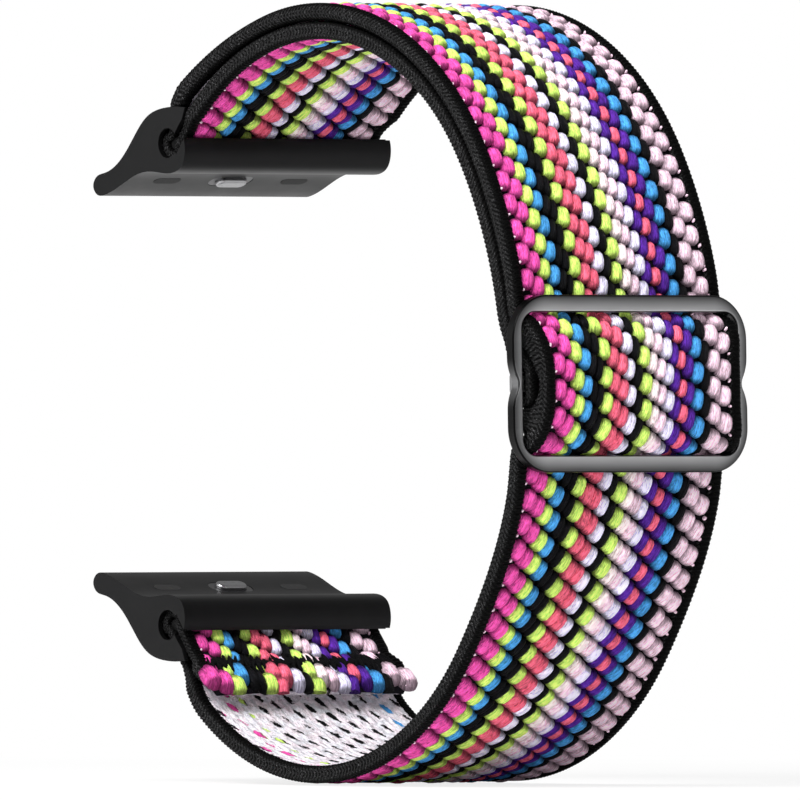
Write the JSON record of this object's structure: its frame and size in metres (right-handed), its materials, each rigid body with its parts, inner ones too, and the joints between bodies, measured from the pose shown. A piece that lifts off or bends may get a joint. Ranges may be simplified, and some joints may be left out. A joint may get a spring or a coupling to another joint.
{
  "type": "braided elastic watch strap",
  "caption": "Adjustable braided elastic watch strap: a loop of striped webbing with a slider buckle and two slide-in adapters with spring latches.",
  "frame": {"origin": "midway between the tips of the two adapter noses, where the middle of the watch case sits", "axes": "+X from the watch's place into the loop, +Y across the strap, +Z towards the upper adapter"},
  "size_m": [0.0722, 0.0294, 0.0768],
  "materials": {
    "webbing": "braided, striped",
    "thread": "sewing thread",
    "adapter_metal": "dark satin anodised",
    "slider_metal": "gunmetal satin plated",
    "steel": "bright",
    "rubber": "matte"
  },
  "bodies": {
    "strap": {"webbing_main_run": "webbing", "webbing_slider_span": "webbing", "webbing_outer_run": "webbing", "webbing_top_fold": "webbing", "webbing_return_run": "webbing", "webbing_return_span": "webbing", "webbing_bottom_fold": "webbing", "webbing_bottom_tail": "webbing", "bottom_seam": "thread", "top_rod": "steel", "bottom_rod": "steel"},
    "slider_carriage": {"webbing_end_wrap": "webbing", "slider_seam": "thread"},
    "slider": {"slider_buckle": "slider_metal"},
    "top_adapter": {"top_adapter_body": "adapter_metal", "top_latch_keeper": "steel", "top_latch_spring": "steel", "top_adapter_pads": "rubber"},
    "top_latch_button": {"top_latch": "steel"},
    "bottom_adapter": {"bottom_adapter_body": "adapter_metal", "bottom_latch_keeper": "steel", "bottom_latch_spring": "steel", "bottom_adapter_pads": "rubber"},
    "bottom_latch_button": {"bottom_latch": "steel"}
  },
  "joints": [
    {"name": "slider_travel", "type": "hinge", "parent": "strap", "child": "slider_carriage", "pos_m": [0.024, 0, -0.0011], "axis": [0, -1, 0], "range_deg": [-12, 12], "deforming": ["webbing_slider_span", "webbing_return_span"]},
    {"name": "slider_tilt", "type": "hinge", "parent": "slider_carriage", "child": "slider", "pos_m": [0.06874, 0, -0.00001], "axis": [0, -1, 0], "range_deg": [-2.5, 2.5], "deforming": ["webbing_slider_span"]},
    {"name": "top_adapter_pivot", "type": "hinge", "parent": "strap", "child": "top_adapter", "pos_m": [0.01216, 0, 0.02397], "axis": [0, 1, 0], "range_deg": [-9, 9]},
    {"name": "top_latch_press", "type": "slide", "parent": "top_adapter", "child": "top_latch_button", "axis": [-0.4147, 0, 0.91], "range_m": [0, 0.00045], "stiffness_N_per_m": 300, "springref_m": -0.0008, "deforming": ["top_latch_spring"]},
    {"name": "bottom_adapter_pivot", "type": "hinge", "parent": "strap", "child": "bottom_adapter", "pos_m": [0.01216, 0, -0.02397], "axis": [0, 1, 0], "range_deg": [-9, 9]},
    {"name": "bottom_latch_press", "type": "slide", "parent": "bottom_adapter", "child": "bottom_latch_button", "axis": [-0.4147, 0, -0.91], "range_m": [0, 0.00045], "stiffness_N_per_m": 300, "springref_m": -0.0008, "deforming": ["bottom_latch_spring"]}
  ]
}
